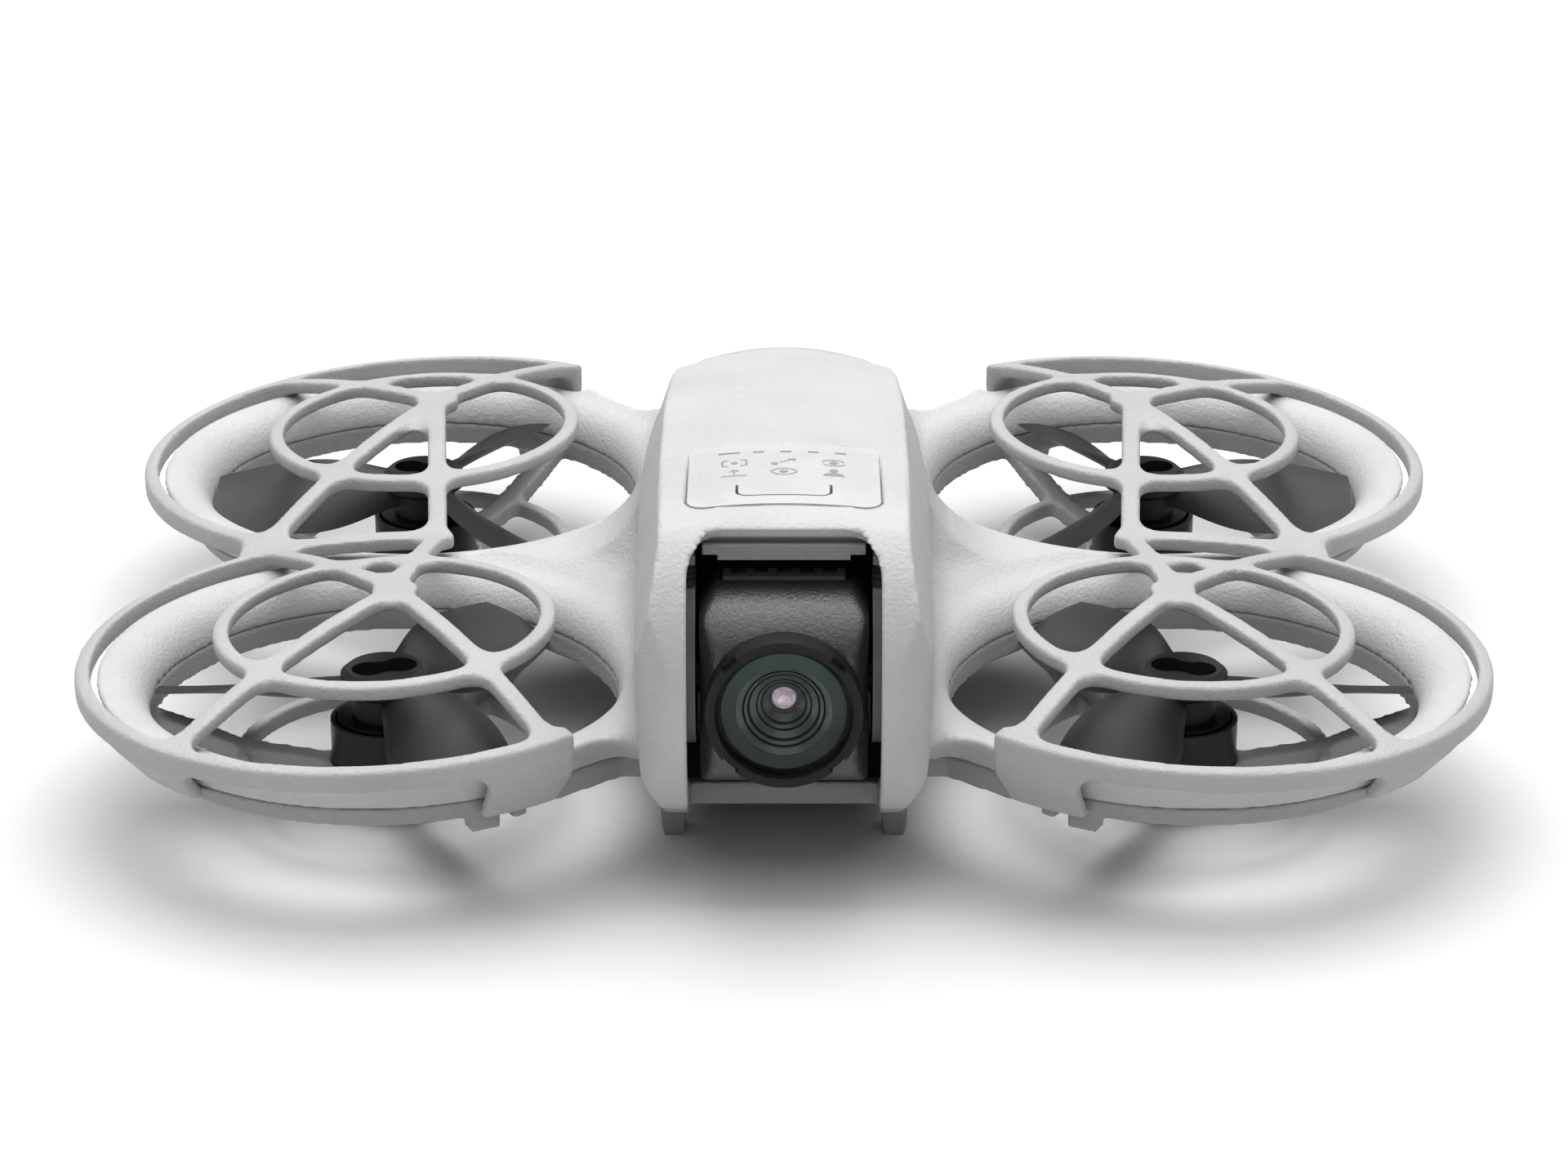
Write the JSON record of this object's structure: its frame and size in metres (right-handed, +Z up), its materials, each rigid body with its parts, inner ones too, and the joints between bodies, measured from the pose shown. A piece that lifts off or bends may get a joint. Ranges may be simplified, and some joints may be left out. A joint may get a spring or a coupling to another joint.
{
  "type": "quadcopter drone",
  "caption": "Palm-sized camera quadcopter with ducted propellers under clip-on guards, a tilting nose camera and a slide-out tail battery.",
  "frame": {"origin": "on the ground, under the middle of the airframe", "axes": "+X towards the right-hand ducts, +Y towards the tail, +Z up; the camera looks along -Y"},
  "size_m": [0.157, 0.13, 0.042],
  "materials": {
    "shell_plastic": "fine moulded texture",
    "frame_plastic": "fine moulded texture",
    "guard_plastic": "fine moulded texture",
    "dark_plastic": "fine grain",
    "black_plastic": "satin",
    "propeller_plastic": "satin",
    "grey_plastic": "satin",
    "motor_metal": "black anodised",
    "yoke_metal": "bead blasted, anodised",
    "heat_sink_metal": "bare",
    "steel": "bright",
    "windings": "enamelled copper",
    "rubber": "matte",
    "lens_glass": "coated, greenish",
    "sensor_window": "gloss",
    "board": "solder mask",
    "light_pipe": "translucent grey",
    "cell_foil": "laminated foil",
    "contact_gold": "gold plated"
  },
  "bodies": {
    "airframe": {"upper_shell": "shell_plastic", "lower_frame": "frame_plastic", "guard_left": "guard_plastic", "guard_right": "guard_plastic", "control_panel": "shell_plastic", "status_lights": "light_pipe", "panel_board": "board", "mid_frame": "dark_plastic", "main_board": "board", "heat_sink": "heat_sink_metal", "downward_camera": "sensor_window", "infrared_sensor": "sensor_window", "gimbal_yoke": "yoke_metal", "gimbal_bracket": "dark_plastic", "gimbal_dampers": "rubber", "tilt_motor": "motor_metal", "visor": "grey_plastic", "bay_floor": "dark_plastic", "antennas": "contact_gold", "battery_socket": "black_plastic", "motor_bearings": "steel", "shell_screws": "steel", "motor_cup_front_left": "motor_metal", "motor_stator_front_left": "windings", "motor_cup_front_right": "motor_metal", "motor_stator_front_right": "windings", "motor_cup_rear_left": "motor_metal", "motor_stator_rear_left": "windings", "motor_cup_rear_right": "motor_metal", "motor_stator_rear_right": "windings"},
    "battery": {"battery_case": "shell_plastic", "battery_cells": "cell_foil", "battery_contacts": "contact_gold", "usb_port": "steel"},
    "latch_left": {"latch_left": "frame_plastic"},
    "latch_right": {"latch_right": "frame_plastic"},
    "power_button": {"power_button": "frame_plastic"},
    "mode_button": {"mode_button": "shell_plastic"},
    "camera": {"camera_housing": "dark_plastic", "camera_rear_cover": "dark_plastic", "camera_vent_comb": "black_plastic", "lens_bezel": "black_plastic", "lens_glass": "lens_glass", "lens_barrel": "black_plastic", "lens_elements": "lens_glass", "image_sensor_board": "board", "tilt_shafts": "steel"},
    "rotor_front_left": {"propeller_front_left": "propeller_plastic", "motor_rotor_front_left": "motor_metal", "propeller_screws_front_left": "steel"},
    "rotor_front_right": {"propeller_front_right": "propeller_plastic", "motor_rotor_front_right": "motor_metal", "propeller_screws_front_right": "steel"},
    "rotor_rear_left": {"propeller_rear_left": "propeller_plastic", "motor_rotor_rear_left": "motor_metal", "propeller_screws_rear_left": "steel"},
    "rotor_rear_right": {"propeller_rear_right": "propeller_plastic", "motor_rotor_rear_right": "motor_metal", "propeller_screws_rear_right": "steel"}
  },
  "joints": [
    {"name": "battery_slide", "type": "slide", "parent": "airframe", "child": "battery", "axis": [0, 1, 0], "range_m": [0, 0.06]},
    {"name": "latch_left_press", "type": "slide", "parent": "battery", "child": "latch_left", "axis": [1, 0, 0], "range_m": [0, 0.001], "stiffness_N_per_m": 300},
    {"name": "latch_right_press", "type": "slide", "parent": "battery", "child": "latch_right", "axis": [-1, 0, 0], "range_m": [0, 0.001], "stiffness_N_per_m": 300},
    {"name": "power_press", "type": "slide", "parent": "battery", "child": "power_button", "axis": [0, -1, 0], "range_m": [0, 0.0006], "stiffness_N_per_m": 400},
    {"name": "mode_press", "type": "hinge", "parent": "airframe", "child": "mode_button", "pos_m": [0, -0.04042, 0.04005], "axis": [1, 0, 0], "range_deg": [0, 5], "stiffness_Nm_per_rad": 0.02},
    {"name": "camera_tilt", "type": "hinge", "parent": "airframe", "child": "camera", "pos_m": [0, -0.048, 0.0232], "axis": [1, 0, 0], "range_deg": [-60, 90]},
    {"name": "spin_front_left", "type": "hinge", "parent": "airframe", "child": "rotor_front_left", "pos_m": [-0.0444, -0.0309, 0.0165], "axis": [0, 0, 1], "continuous": true},
    {"name": "spin_front_right", "type": "hinge", "parent": "airframe", "child": "rotor_front_right", "pos_m": [0.0444, -0.0309, 0.0165], "axis": [0, 0, 1], "continuous": true},
    {"name": "spin_rear_left", "type": "hinge", "parent": "airframe", "child": "rotor_rear_left", "pos_m": [-0.0444, 0.0309, 0.0165], "axis": [0, 0, 1], "continuous": true},
    {"name": "spin_rear_right", "type": "hinge", "parent": "airframe", "child": "rotor_rear_right", "pos_m": [0.0444, 0.0309, 0.0165], "axis": [0, 0, 1], "continuous": true}
  ]
}
